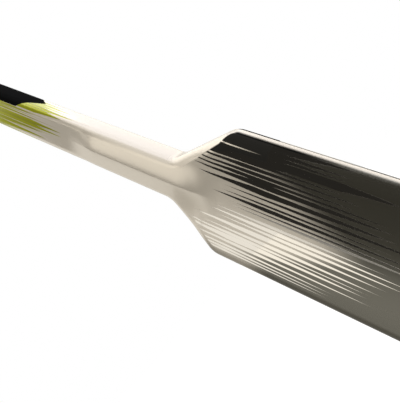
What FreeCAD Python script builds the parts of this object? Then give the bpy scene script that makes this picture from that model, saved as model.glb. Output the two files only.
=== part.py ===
import FreeCAD, Part
import math
import os
import re

import Sketcher

# Driving sizes of the stick, millimetres and degrees.
SIZES = {
    # Shaft: a rounded rectangular tube.
    "shaft_width": 30,
    "shaft_depth": 20,
    "shaft_corner": 5,
    "shaft_wall": 2.5,
    "shaft_length": 700,
    # Butt cap: a head on the tube's end and a spigot in its bore.
    "cap_thickness": 6,
    "cap_round": 2.5,
    "cap_spigot": 28,
    # Tenon between shaft and grip, and the clearance of every bonded fit.
    "tenon_rise": 60,
    "bond_gap": 0.1,
    # Five-sided grip about the origin: a ridge between two facets in front, running out into flat faces.
    "grip_rise": 54,
    "neck_drop": 44,
    "runout_length": 26,
    "runout_drop": 12,
    "ridge_rise": 2.6,
    "ridge_half": 2,
    "facet_tilt": 12.5,
    "neck_flare": 2.5,
    # Shoulders and paddle.
    "shoulder_length": 33,
    "shoulder_corner": 14,
    "paddle_width": 88,
    "paddle_length": 660,
    "rail_width": 8,
    "edge_round": 6.5,
    "edge_bevel": 4,
    "skin_thickness": 1.5,
    "spar_width": 8,
    "spar_tongue": 40,
    "tongue_depth": 9,
    "core_setback": 4,
    # Heel and blade: the lean is the shaft's angle from upright with the sole flat.
    "lean": 30,
    "join_rise": 115,
    "blade_reach": 330,
    "blade_height": 88,
    "toe_height": 82,
    "toe_depth": 14,
    "toe_rise": 5,
    "toe_run": 90,
    "sole_round": 300,
    "curve_depth": 18,
    "heel_round": 35,
    "crotch_round": 25,
    "toe_upper_round": 32,
    "toe_lower_round": 22,
    "heel_block_reach": 25,
    "rib_height": 40,
    "rib_thickness": 3,
    # How far cutting tools run past the solid that they cut.
    "overrun": 20,
}

TOUCH_SHARE = 1e-5

doc = FreeCAD.newDocument("goalie_stick")
sheet = doc.addObject("Spreadsheet::Sheet", "Sizes")
for row, (alias, number) in enumerate(SIZES.items(), start=1):
    sheet.set(f"A{row}", alias)
    sheet.set(f"B{row}", str(number))
    sheet.setAlias(f"B{row}", alias)
doc.recompute()


def on_sheet(formula):
    """Formula with the name of every size turned into its cell on the sheet."""
    return re.sub(r"[a-z_]+", lambda word: f"Sizes.{word[0]}" if word[0] in SIZES else word[0], formula)


def value(formula):
    """Number that a formula on the sheet gives now."""
    return float(sheet.evalExpression(on_sheet(formula)))


def new_body(label):
    """Empty body that carries the name of its piece."""
    body = doc.addObject("PartDesign::Body", label)
    body.Label = label
    return body


def place_on_stick(body):
    """Leans a body that is drawn along the shaft, Z up it and X toward the blade's side."""
    lean = FreeCAD.Rotation(FreeCAD.Vector(0, -1, 0), value("lean"))
    body.Placement = FreeCAD.Placement(FreeCAD.Vector(), lean)
    body.setExpression("Placement.Rotation.Angle", on_sheet("lean"))


def place_on_blade(body):
    """Moves a body that is drawn on the sole, X toward the toe, to where the shaft's axis meets it."""
    body.setExpression("Placement.Base.x", on_sheet("(neck_drop + paddle_length) * sin(lean)"))
    body.setExpression("Placement.Base.z", on_sheet("-(neck_drop + paddle_length) * cos(lean)"))


def new_sketch(body, name, role, lift="0"):
    """Empty sketch on one of the body's own origin planes, raised off that plane by a formula."""
    sketch = body.newObject("Sketcher::SketchObject", f"{body.Label}_{name}")
    plane = next(item for item in body.Origin.OriginFeatures if item.Role == role)
    sketch.AttachmentSupport = [(plane, "")]
    sketch.MapMode = "FlatFace"
    sketch.setExpression("AttachmentOffset.Base.z", on_sheet(lift))
    return sketch


def arc_between(start, end, radius):
    """Arc that turns left from start to end, less than half a turn."""
    chord = end - start
    middle = (start + end) * 0.5
    reach = math.sqrt(max(radius ** 2 - (chord.Length / 2) ** 2, 0))
    left = FreeCAD.Vector(-chord.y, chord.x, 0).normalize()
    centre = middle + left * reach
    first = math.atan2(start.y - centre.y, start.x - centre.x)
    last = math.atan2(end.y - centre.y, end.x - centre.x)
    return Part.ArcOfCircle(Part.Circle(centre, FreeCAD.Vector(0, 0, 1), radius), first, last)


def tie(sketch, formula, kind, *places):
    """Constraint whose value follows a formula on the sheet."""
    number = sketch.addConstraint(Sketcher.Constraint(kind, *places, value(formula)))
    sketch.setExpression(f"Constraints[{number}]", on_sheet(formula))


def add_edge(sketch, start, end, radius="0", turns_left=True):
    """Line, or arc of a radius formula; gives its number and which of its ends are start and end."""
    if radius == "0":
        return sketch.addGeometry(Part.LineSegment(start, end)), 1, 2
    if turns_left:
        edge = sketch.addGeometry(arc_between(start, end, value(radius)))
    else:
        edge = sketch.addGeometry(arc_between(end, start, value(radius)))
    tie(sketch, radius, "Radius", edge)
    return (edge, 1, 2) if turns_left else (edge, 2, 1)


def draw(sketch, corners, rounds=None, arcs=None):
    """Closed outline through corners, each a pair of formulas, tied to the sheet.

    rounds gives the radius formula of a corner by its number: an arc then touches both of its edges.
    arcs gives the radius formula of an edge, and whether it turns left, by the corner that it starts at.
    """
    rounds = rounds or {}
    arcs = arcs or {}
    points = [FreeCAD.Vector(value(x), value(y), 0) for x, y in corners]
    count = len(points)
    entries, exits = list(points), list(points)
    for index, radius in rounds.items():
        point = points[index]
        back = (points[index - 1] - point).normalize()
        onward = (points[(index + 1) % count] - point).normalize()
        reach = value(radius) / math.tan(back.getAngle(onward) / 2)
        entries[index] = point + back * reach
        exits[index] = point + onward * reach
    edges = [
        add_edge(sketch, exits[index], entries[(index + 1) % count], *arcs.get(index, ()))
        for index in range(count)
    ]
    for index, (across, up) in enumerate(corners):
        before, _, before_end = edges[index - 1]
        after, after_start, _ = edges[index]
        if index in rounds:
            way_in = points[index] - points[index - 1]
            way_out = points[(index + 1) % count] - points[index]
            turns_left = way_in.x * way_out.y > way_in.y * way_out.x
            bend, bend_start, bend_end = add_edge(
                sketch, entries[index], exits[index], rounds[index], turns_left
            )
            sketch.addConstraint(Sketcher.Constraint("Tangent", before, before_end, bend, bend_start))
            sketch.addConstraint(Sketcher.Constraint("Tangent", bend, bend_end, after, after_start))
            held, held_point = sketch.addGeometry(Part.Point(points[index]), True), 1
            sketch.addConstraint(Sketcher.Constraint("PointOnObject", held, held_point, before))
            sketch.addConstraint(Sketcher.Constraint("PointOnObject", held, held_point, after))
        else:
            held, held_point = after, after_start
            sketch.addConstraint(Sketcher.Constraint("Coincident", before, before_end, after, after_start))
        tie(sketch, across, "DistanceX", -1, 1, held, held_point)
        tie(sketch, up, "DistanceY", -1, 1, held, held_point)
    return sketch


def rectangle(half_x, half_y):
    """Corners of a rectangle about the origin, turning left."""
    return [
        (f"-({half_x})", f"-({half_y})"),
        (half_x, f"-({half_y})"),
        (half_x, half_y),
        (f"-({half_x})", half_y),
    ]


def rounded_rectangle(half_x, half_y, radius):
    """Corners of a rectangle about the origin and the radius of each."""
    corners = rectangle(half_x, half_y)
    return corners, dict.fromkeys(range(len(corners)), radius)


def pad(body, sketch, length, both_ways=False):
    """Pad of a sketch along its normal, or half to each side."""
    feature = body.newObject("PartDesign::Pad", f"{sketch.Name}_pad")
    feature.Profile = sketch
    feature.setExpression("Length", on_sheet(length))
    if both_ways:
        feature.SideType = "Symmetric"
    return feature


def cut(body, sketch, depth=None):
    """Pocket along the sketch's normal to a depth, or through the whole body to both sides.

    It has to take material away.
    """
    doc.recompute()
    before = body.Shape.Volume
    feature = body.newObject("PartDesign::Pocket", f"{sketch.Name}_cut")
    feature.Profile = sketch
    if depth is None:
        feature.SideType = "Symmetric"
        feature.Type = "ThroughAll"
    else:
        feature.Reversed = True
        feature.setExpression("Length", on_sheet(depth))
    doc.recompute()
    if not body.Shape.Volume < before:
        raise ValueError(f"{feature.Name} cuts nothing")
    return feature


def face_normal(face):
    """Outward normal at the middle of a face."""
    first_u, last_u, first_v, last_v = face.ParameterRange
    return face.normalAt((first_u + last_u) / 2, (first_v + last_v) / 2)


def dress_edges(body, kind, size_name, formula, chosen):
    """Fillet or chamfer on the edges of the body that a test of shape and edge picks."""
    doc.recompute()
    base = body.Tip
    names = [
        f"Edge{number}"
        for number, edge in enumerate(base.Shape.Edges, start=1)
        if chosen(base.Shape, edge)
    ]
    if not names:
        raise ValueError(f"{body.Label} has no edge for its {kind}")
    feature = body.newObject(f"PartDesign::{kind}", f"{body.Label}_{kind}")
    feature.Base = (base, names)
    feature.setExpression(size_name, on_sheet(formula))
    return feature


def between_faces(first, second):
    """Test for the edges between a face whose normal passes one test and a face that passes another."""

    def chosen(shape, edge):
        normals = [face_normal(face) for face in shape.ancestorsOfType(edge, Part.Face)]
        if len(normals) != 2:
            return False
        one, other = normals
        return (first(one) and second(other)) or (first(other) and second(one))

    return chosen


LEVEL_SHARE = 0.1
FLAT_SHARE = 0.9
RIDGE_SHARE = 0.9

HALF_WIDTH = "shaft_width / 2"
HALF_DEPTH = "shaft_depth / 2"
BORE_X = "(shaft_width / 2 - shaft_wall)"
BORE_Y = "(shaft_depth / 2 - shaft_wall)"
BORE_CORNER = "(shaft_corner - shaft_wall)"
HALF_NECK = "(shaft_width / 2 + neck_flare)"
TENON_X = "(shaft_width / 2 - shaft_wall - bond_gap)"
TENON_Y = "(shaft_depth / 2 - shaft_wall - bond_gap)"
CORE_DEPTH = "(shaft_depth - 2 * skin_thickness)"
HALF_PADDLE = "paddle_width / 2"
HALF_CORE = "(paddle_width / 2 - rail_width)"
HALF_SPAR = "spar_width / 2"
SEAT_ROUND = "(shoulder_corner - rail_width)"
NECK = "-neck_drop"
SHOULDER_END = "-(neck_drop + shoulder_length)"
CORE_SHOULDER_END = "-(neck_drop + shoulder_length + core_setback)"
JOIN = "-(neck_drop + paddle_length - join_rise)"


def make_shaft_tube():
    """Hollow tube from the grip to the butt."""
    body = new_body("shaft_tube")
    outer = draw(new_sketch(body, "outside", "XY_Plane", "grip_rise"),
                 *rounded_rectangle(HALF_WIDTH, HALF_DEPTH, "shaft_corner"))
    pad(body, outer, "shaft_length")
    bore = draw(new_sketch(body, "bore", "XY_Plane", "grip_rise"),
                *rounded_rectangle(BORE_X, BORE_Y, BORE_CORNER))
    cut(body, bore)
    place_on_stick(body)
    return body


def make_butt_cap():
    """End cap with a rounded head and a spigot that fills the bore of the tube."""
    body = new_body("butt_cap")
    top = "(grip_rise + shaft_length)"
    head = draw(new_sketch(body, "head", "XY_Plane", top),
                *rounded_rectangle(HALF_WIDTH, HALF_DEPTH, "shaft_corner"))
    pad(body, head, "cap_thickness")
    dress_edges(body, "Fillet", "Radius", "cap_round",
                between_faces(lambda n: n.z > FLAT_SHARE, lambda n: abs(n.z) < LEVEL_SHARE))
    spigot = draw(new_sketch(body, "spigot", "XY_Plane", f"{top} - cap_spigot"),
                  *rounded_rectangle(TENON_X, TENON_Y, BORE_CORNER))
    pad(body, spigot, "cap_spigot")
    place_on_stick(body)
    return body


def make_neck_tenon():
    """Insert that fills the tube's lower bore and the grip, with a slot for the tongue of the spar."""
    body = new_body("neck_tenon")
    section = draw(new_sketch(body, "section", "XY_Plane", NECK),
                   *rounded_rectangle(TENON_X, TENON_Y, BORE_CORNER))
    pad(body, section, "neck_drop + grip_rise + tenon_rise")
    slot = draw(new_sketch(body, "slot", "XY_Plane", NECK),
                rectangle(f"({HALF_SPAR} + bond_gap)", "(tongue_depth / 2 + bond_gap)"))
    cut(body, slot, "spar_tongue + bond_gap")
    place_on_stick(body)
    return body


def roof_section(half_width):
    """Corners and arcs of the grip's front half where it has its ridge and two facets, turning left.

    Each facet falls from the end of the ridge by the tilt and ends where the round corner touches it.
    """
    touch_x = f"({half_width} - shaft_corner + shaft_corner * sin(facet_tilt))"
    front = "-(shaft_depth / 2 + ridge_rise)"
    touch_y = f"({front} + ({touch_x} - ridge_half) * tan(facet_tilt))"
    side_y = f"({touch_y} + shaft_corner * cos(facet_tilt))"
    corners = [
        (f"-{half_width}", "0"),
        (f"-{half_width}", side_y),
        (f"-{touch_x}", touch_y),
        ("-ridge_half", front),
        ("ridge_half", front),
        (touch_x, touch_y),
        (half_width, side_y),
        (half_width, "0"),
    ]
    corner = ("shaft_corner", True)
    ridge = ("ridge_half / sin(facet_tilt)", True)
    return corners, {}, {1: corner, 3: ridge, 5: corner}


def flat_section(half_width, face):
    """Corners and arcs of half of the grip behind a flat face, with as many edges as with the ridge."""
    inner_x = f"({half_width} - shaft_corner)"
    side_y = f"{face} * (shaft_depth / 2 - shaft_corner)"
    face_y = f"{face} * shaft_depth / 2"
    middle = f"{inner_x} * {RIDGE_SHARE}"
    corners = [
        (f"-{half_width}", "0"),
        (f"-{half_width}", side_y),
        (f"-{inner_x}", face_y),
        (f"-{middle}", face_y),
        (middle, face_y),
        (inner_x, face_y),
        (half_width, side_y),
        (half_width, "0"),
    ]
    corner = ("shaft_corner", face == "-1")
    return corners, {}, {1: corner, 5: corner}


def make_grip_shell(label, stations):
    """Half shell of the grip, ruled through sections at heights on the stick, with the tenon's socket."""
    body = new_body(label)
    sketches = [
        draw(new_sketch(body, name, "XY_Plane", lift), *section)
        for name, lift, section in stations
    ]
    doc.recompute()
    loft = body.newObject("PartDesign::AdditiveLoft", f"{label}_loft")
    loft.Profile = sketches[0]
    loft.Sections = sketches[1:]
    loft.Ruled = True
    socket = draw(new_sketch(body, "socket", "XY_Plane"),
                  *rounded_rectangle(BORE_X, BORE_Y, BORE_CORNER))
    cut(body, socket)
    place_on_stick(body)
    return body


def make_grip_front():
    """Front shell of the five-sided grip: the flat front runs out into a ridge between two facets."""
    return make_grip_shell("grip_front", [
        ("top", "grip_rise", flat_section(f"({HALF_WIDTH})", "-1")),
        ("upper", "grip_rise - runout_length", roof_section(f"({HALF_WIDTH})")),
        ("lower", "runout_drop - neck_drop", roof_section(f"({HALF_WIDTH})")),
        ("neck", NECK, flat_section(HALF_NECK, "-1")),
    ])


def make_grip_back():
    """Back shell of the grip, as flat as the back of the shaft."""
    return make_grip_shell("grip_back", [
        ("top", "grip_rise", flat_section(f"({HALF_WIDTH})", "1")),
        ("lower", "runout_drop - neck_drop", flat_section(f"({HALF_WIDTH})", "1")),
        ("neck", NECK, flat_section(HALF_NECK, "1")),
    ])


def make_paddle_spar():
    """Web between the skins from the neck to the heel block, with a tongue in the slot of the tenon."""
    body = new_body("paddle_spar")
    web = draw(new_sketch(body, "web", "XY_Plane", JOIN), rectangle(HALF_SPAR, f"{CORE_DEPTH} / 2"))
    pad(body, web, "paddle_length - join_rise")
    tongue = draw(new_sketch(body, "tongue", "XY_Plane", NECK), rectangle(HALF_SPAR, "tongue_depth / 2"))
    pad(body, tongue, "spar_tongue")
    place_on_stick(body)
    return body


def make_paddle_skin(label, lift):
    """Skin of shoulders and paddle between the rails."""
    body = new_body(label)
    corners = [
        (HALF_SPAR, NECK),
        (f"-({HALF_SPAR})", NECK),
        (f"-{HALF_CORE}", CORE_SHOULDER_END),
        (f"-{HALF_CORE}", JOIN),
        (HALF_CORE, JOIN),
        (HALF_CORE, CORE_SHOULDER_END),
    ]
    outline = draw(new_sketch(body, "outline", "XZ_Plane", lift), corners, {2: SEAT_ROUND, 5: SEAT_ROUND})
    pad(body, outline, "skin_thickness")
    place_on_stick(body)
    return body


def make_paddle_rail(label, side):
    """Edge rail from the neck over the shoulder and down the paddle, round on its outer side."""
    body = new_body(label)
    corners = [
        (f"{side} * {HALF_SPAR}", NECK),
        (f"{side} * {HALF_NECK}", NECK),
        (f"{side} * {HALF_PADDLE}", SHOULDER_END),
        (f"{side} * {HALF_PADDLE}", JOIN),
        (f"{side} * {HALF_CORE}", JOIN),
        (f"{side} * {HALF_CORE}", CORE_SHOULDER_END),
    ]
    outline = draw(new_sketch(body, "outline", "XZ_Plane"), corners, {2: "shoulder_corner", 5: SEAT_ROUND})
    pad(body, outline, "shaft_depth", both_ways=True)
    outward = float(side)
    dress_edges(body, "Fillet", "Radius", "edge_round",
                between_faces(lambda n: abs(n.y) > FLAT_SHARE, lambda n: outward * n.x > LEVEL_SHARE))
    place_on_stick(body)
    return body


def make_paddle_core(label, side):
    """Foam strip between spar, rail and skins."""
    body = new_body(label)
    corners = [
        (f"{side} * {HALF_SPAR}", NECK),
        (f"{side} * {HALF_CORE}", CORE_SHOULDER_END),
        (f"{side} * {HALF_CORE}", JOIN),
        (f"{side} * {HALF_SPAR}", JOIN),
    ]
    outline = draw(new_sketch(body, "outline", "XZ_Plane"), corners, {1: SEAT_ROUND})
    pad(body, outline, CORE_DEPTH, both_ways=True)
    place_on_stick(body)
    return body


def on_paddle(across, along):
    """Place on the blade's drawing of a point across the paddle and up its axis from the sole."""
    return (
        f"(({across}) * cos(lean) - ({along}) * sin(lean))",
        f"(({across}) * sin(lean) + ({along}) * cos(lean))",
    )


def blade_outline(inset, join="join_rise"):
    """Corners of heel and blade, drawn in from the outside by an inset, by name."""
    half = f"(paddle_width / 2 - {inset})"
    heel_along = f"(({inset} + {half} * sin(lean)) / cos(lean))"
    crotch_along = f"((blade_height - {inset} - {half} * sin(lean)) / cos(lean))"
    return {
        "join_outer": on_paddle(f"-{half}", join),
        "heel": on_paddle(f"-{half}", heel_along),
        "sole": ("(blade_reach - toe_run)", inset),
        "toe_lower": (f"(blade_reach - {inset})", f"(toe_rise + {inset})"),
        "toe_upper": (f"(blade_reach - {inset})", f"(toe_height - {inset})"),
        "crotch": on_paddle(half, crotch_along),
        "join_inner": on_paddle(half, join),
    }


OUTER = blade_outline("0")
INNER = blade_outline("rail_width")
INNER_PAST_JOIN = blade_outline("rail_width", "(join_rise + overrun)")
BACK_END = "-((paddle_width / 2) * cos(lean) + (join_rise + overrun) * sin(lean))"
BLADE_TOP = "((paddle_width / 2) * sin(lean) + join_rise * cos(lean))"

OUTER_ROUNDS = {
    "heel": "heel_round",
    "sole": "sole_round",
    "toe_lower": "toe_lower_round",
    "toe_upper": "toe_upper_round",
    "crotch": "crotch_round",
}
INNER_ROUNDS = {
    "heel": "(heel_round - rail_width)",
    "sole": "(sole_round - rail_width)",
    "toe_lower": "(toe_lower_round - rail_width)",
    "toe_upper": "(toe_upper_round - rail_width)",
    "crotch": "(crotch_round + rail_width)",
}


# Depth of each layer of the blade, at the heel and at the toe.
FRONT_FACE = ("-shaft_depth / 2", "-(curve_depth + toe_depth / 2)")
FRONT_CORE = ("-(shaft_depth / 2 - skin_thickness)", "-(curve_depth + toe_depth / 2 - skin_thickness)")
BACK_CORE = ("(shaft_depth / 2 - skin_thickness)", "-(curve_depth - toe_depth / 2 + skin_thickness)")
BACK_FACE = ("shaft_depth / 2", "-(curve_depth - toe_depth / 2)")


def draw_band(sketch, front_layer, back_layer):
    """Blade from above between two layers: straight at the heel, then arcs bend the toe to the front."""
    front, front_toe = front_layer
    back, back_toe = back_layer
    corners = [
        (BACK_END, front),
        ("0", front),
        ("(blade_reach + overrun)", front_toe),
        ("(blade_reach + overrun)", back_toe),
        ("0", back),
        (BACK_END, back),
    ]

    def radius(start, end):
        fall = f"({start} - ({end}))"
        return f"(((blade_reach + overrun) ^ 2 + {fall} ^ 2) / (2 * {fall}))"

    arcs = {1: (radius(front, front_toe), False), 3: (radius(back, back_toe), True)}
    return draw(sketch, corners, arcs=arcs)


def draw_outline(sketch, outline, rounds):
    """Named outline, with a rounded corner wherever its name has a radius."""
    radii = {index: rounds[name] for index, name in enumerate(outline) if name in rounds}
    return draw(sketch, list(outline.values()), radii)


def make_blade_layer(label, front_layer, back_layer, outline, rounds):
    """Part of the blade between two layers, trimmed to an outline with its rounded corners."""
    body = new_body(label)
    band = draw_band(new_sketch(body, "band", "XY_Plane", "-overrun"), front_layer, back_layer)
    pad(body, band, f"{BLADE_TOP} + 2 * overrun")
    trim = new_sketch(body, "trim", "XZ_Plane")
    frame_left = f"({BACK_END} - overrun)"
    frame_right = "(blade_reach + 2 * overrun)"
    frame_low = "-(2 * overrun)"
    frame_high = f"({BLADE_TOP} + 2 * overrun)"
    draw(trim, [
        (frame_left, frame_low),
        (frame_right, frame_low),
        (frame_right, frame_high),
        (frame_left, frame_high),
    ])
    draw_outline(trim, outline, rounds)
    cut(body, trim)
    place_on_blade(body)
    return body


def make_blade_edge():
    """Edge wrap round heel, sole, toe and top edge, bevelled outside and open at the paddle."""
    body = make_blade_layer("blade_edge", FRONT_FACE, BACK_FACE, OUTER, OUTER_ROUNDS)
    lean = math.radians(value("lean"))
    toward_paddle = FreeCAD.Vector(-math.sin(lean), 0, math.cos(lean))

    def is_side(normal):
        return abs(normal.y) < LEVEL_SHARE and normal.dot(toward_paddle) < 1 - TOUCH_SHARE

    dress_edges(body, "Chamfer", "Size", "edge_bevel",
                between_faces(lambda n: abs(n.y) > FLAT_SHARE, is_side))
    cut(body, draw_outline(new_sketch(body, "inside", "XZ_Plane"), INNER_PAST_JOIN, INNER_ROUNDS))
    return body


def make_heel_block():
    """Dense core where the paddle's strips, spar and the blade's cores end."""
    seam = "heel_block_reach"
    outline = {name: INNER[name] for name in ("join_outer", "heel")}
    outline["seam_low"] = (seam, "rail_width")
    outline["seam_high"] = (seam, seam_top(seam))
    outline["crotch"] = INNER["crotch"]
    outline["join_inner"] = INNER["join_inner"]
    return make_blade_layer("heel_block", FRONT_CORE, BACK_CORE, outline, INNER_ROUNDS)


def seam_top(across):
    """Height of the inner outline's top edge at a place along the blade."""
    crotch_x, crotch_y = INNER["crotch"]
    toe_x, toe_y = INNER["toe_upper"]
    return f"({crotch_y} + ({across} - {crotch_x}) * ({toe_y} - {crotch_y}) / ({toe_x} - {crotch_x}))"


def make_blade_cores():
    """Foam above and below the rib, and the rib, from the heel block to the toe."""
    seam = "heel_block_reach"
    rib_low = "(rib_height - rib_thickness / 2)"
    rib_high = "(rib_height + rib_thickness / 2)"
    toe = INNER["toe_lower"][0]
    lower = {
        "seam_low": (seam, "rail_width"),
        "sole": INNER["sole"],
        "toe_lower": INNER["toe_lower"],
        "rib_toe": (toe, rib_low),
        "rib_seam": (seam, rib_low),
    }
    upper = {
        "rib_seam": (seam, rib_high),
        "rib_toe": (toe, rib_high),
        "toe_upper": INNER["toe_upper"],
        "seam_high": (seam, seam_top(seam)),
    }
    rib = {
        "low_seam": (seam, rib_low),
        "low_toe": (toe, rib_low),
        "high_toe": (toe, rib_high),
        "high_seam": (seam, rib_high),
    }
    return [
        make_blade_layer(label, FRONT_CORE, BACK_CORE, outline, INNER_ROUNDS)
        for label, outline in (("blade_core_lower", lower), ("blade_core_upper", upper), ("blade_rib", rib))
    ]


def write_steps(bodies):
    """Checks every object and writes one file for each piece."""
    doc.recompute()
    for item in doc.Objects:
        if "Invalid" in item.State or "Error" in item.State:
            raise ValueError(f"{item.Name} is {item.State}")
    os.makedirs("parts", exist_ok=True)
    for body in bodies:
        if body.Shape.isNull() or not body.Shape.isValid():
            raise ValueError(f"{body.Label} has no valid shape")
        body.Shape.exportStep(f"parts/{body.Label}.step")


write_steps([
    make_shaft_tube(),
    make_butt_cap(),
    make_neck_tenon(),
    make_grip_front(),
    make_grip_back(),
    make_paddle_spar(),
    make_paddle_skin("paddle_front_skin", "shaft_depth / 2 - skin_thickness"),
    make_paddle_skin("paddle_back_skin", "-shaft_depth / 2"),
    make_paddle_rail("paddle_rail_inner", "1"),
    make_paddle_rail("paddle_rail_outer", "-1"),
    make_paddle_core("paddle_core_inner", "1"),
    make_paddle_core("paddle_core_outer", "-1"),
    make_heel_block(),
    make_blade_edge(),
    make_blade_layer("blade_front_skin", FRONT_FACE, FRONT_CORE, INNER, INNER_ROUNDS),
    make_blade_layer("blade_back_skin", BACK_CORE, BACK_FACE, INNER, INNER_ROUNDS),
    *make_blade_cores(),
])
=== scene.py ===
"""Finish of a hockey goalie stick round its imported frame: lacquered skin, cap, cores, stage and camera.

Lengths are in metres. On the stick, across runs toward the blade, down runs from the grip's centre to the
toe, and up runs the other way.
"""

import logging
import math
from dataclasses import dataclass
from enum import Enum, IntEnum
from functools import reduce

import bpy
import numpy as np
from mathutils import Matrix, Vector

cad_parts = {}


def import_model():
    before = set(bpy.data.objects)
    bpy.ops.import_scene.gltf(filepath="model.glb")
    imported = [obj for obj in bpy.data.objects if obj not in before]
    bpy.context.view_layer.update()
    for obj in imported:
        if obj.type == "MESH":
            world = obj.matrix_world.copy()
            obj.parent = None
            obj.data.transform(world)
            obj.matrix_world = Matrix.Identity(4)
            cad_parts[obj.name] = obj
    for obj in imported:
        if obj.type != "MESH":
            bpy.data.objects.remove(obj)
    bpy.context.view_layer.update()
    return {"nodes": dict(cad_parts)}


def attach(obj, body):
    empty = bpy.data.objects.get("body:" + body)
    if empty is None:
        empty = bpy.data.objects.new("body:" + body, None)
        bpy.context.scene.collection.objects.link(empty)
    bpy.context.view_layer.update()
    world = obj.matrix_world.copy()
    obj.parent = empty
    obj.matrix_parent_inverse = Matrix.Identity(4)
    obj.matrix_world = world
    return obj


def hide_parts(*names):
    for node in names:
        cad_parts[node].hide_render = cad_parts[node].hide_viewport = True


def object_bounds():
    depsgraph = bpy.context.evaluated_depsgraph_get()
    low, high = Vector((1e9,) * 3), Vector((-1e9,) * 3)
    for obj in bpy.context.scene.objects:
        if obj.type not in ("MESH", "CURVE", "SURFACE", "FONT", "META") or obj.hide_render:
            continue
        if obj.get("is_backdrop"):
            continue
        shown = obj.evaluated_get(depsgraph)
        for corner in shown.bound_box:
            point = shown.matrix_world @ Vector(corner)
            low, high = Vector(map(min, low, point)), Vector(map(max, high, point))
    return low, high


LOG = logging.getLogger("goalie_stick")
BODY = "root"
LAY_MAP = "lay"
SHADE_MAP = "shade"
FACE_PITCH = 0.2
SHARP_ANGLE = 60.0

Span = tuple[float, float]
Tint = tuple[float, float, float]
Triple = tuple[float, float, float]
Colour = tuple[float, float, float, float]

WARM: Tint = (1.0, 0.97, 0.92)
MILD: Tint = (0.98, 0.97, 0.97)
COOL: Tint = (0.88, 0.90, 1.02)
WHITE: Colour = (1.0, 1.0, 1.0, 1.0)

# Stations in each range of the skin, from the butt to the toe
STATIONS = {
    "shaft": 20,
    "facet_start": 14,
    "grip": 92,
    "neck": 10,
    "shoulder": 30,
    "shoulder_bend": 12,
    "paddle": 56,
    "join": 10,
    "heel": 18,
    "blade": 56,
    "toe": 18,
}


class Side(Enum):
    """Face of the stick's section, with its number in the lay map."""

    FRONT = 0
    INNER = 1
    BACK = 2
    OUTER = 3


class Part(IntEnum):
    """Place of a stretch in a long edge of the plan, counted back from the toe where it is below 0."""

    GRIP = 0
    NECK = 1
    SHOULDER = 2
    SHOULDER_BEND = 3
    PADDLE = 4
    HEEL = 5
    BLADE = -3
    TOE = -2


@dataclass(frozen=True)
class Lean:
    """Frame of the leaning stick: X across toward the blade, Y to the back, Z up the shaft."""

    degrees: float = 30.0

    @property
    def across(self) -> np.ndarray:
        """World direction, in the plan of X and Z, across the stick."""
        angle = math.radians(self.degrees)
        return np.array([math.cos(angle), math.sin(angle)])

    @property
    def along(self) -> np.ndarray:
        """World direction, in the plan of X and Z, up the shaft."""
        angle = math.radians(self.degrees)
        return np.array([-math.sin(angle), math.cos(angle)])

    def plan(self, across: float, along: float) -> np.ndarray:
        """World X and Z of a place across the stick and up the shaft from the grip's centre."""
        return across * self.across + along * self.along

    def world(self, across: float, depth: float, along: float) -> Vector:
        """World point of a place on the stick, with its depth toward the back."""
        x, z = self.plan(across, along)
        return Vector((x, depth, z))


@dataclass(frozen=True)
class Run:
    """Straight stretch of an outline."""

    start: np.ndarray
    end: np.ndarray

    @property
    def length(self) -> float:
        """Length of the stretch."""
        return float(np.linalg.norm(self.end - self.start))

    def points(self, shares: np.ndarray) -> np.ndarray:
        """Points at shares of the stretch: start + share * (end - start)."""
        return self.start + shares[:, None] * (self.end - self.start)

    def distance(self, plan: np.ndarray) -> np.ndarray:
        """Distance from the stretch, by the nearest share between 0 and 1.

        Args:
            plan: Plan points, X and Z along the last axis.

        Returns:
            Distance of each point.
        """
        way = self.end - self.start
        share = np.clip((plan - self.start) @ way / (way @ way), 0, 1)
        return np.linalg.norm(plan - self.start - share[..., None] * way, axis=-1)


@dataclass(frozen=True)
class Bend:
    """Round stretch of an outline."""

    centre: np.ndarray
    radius: float
    first: float
    sweep: float

    @property
    def length(self) -> float:
        """Length of the stretch."""
        return self.radius * abs(self.sweep)

    def points(self, shares: np.ndarray) -> np.ndarray:
        """Points at shares of the stretch: centre + radius at the angle first + share * sweep."""
        angle = self.first + shares * self.sweep
        return self.centre + self.radius * np.stack([np.cos(angle), np.sin(angle)], axis=-1)

    def distance(self, plan: np.ndarray) -> np.ndarray:
        """Distance from the stretch, endless outside the angles that it covers.

        Args:
            plan: Plan points, X and Z along the last axis.

        Returns:
            Distance of each point.
        """
        way = plan - self.centre
        turned = np.arctan2(way[..., 1], way[..., 0]) - self.first
        turned = (np.sign(self.sweep) * turned + math.pi) % math.tau - math.pi
        covered = (turned >= 0) & (turned <= abs(self.sweep))
        return np.where(covered, np.abs(np.linalg.norm(way, axis=-1) - self.radius), np.inf)


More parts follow.
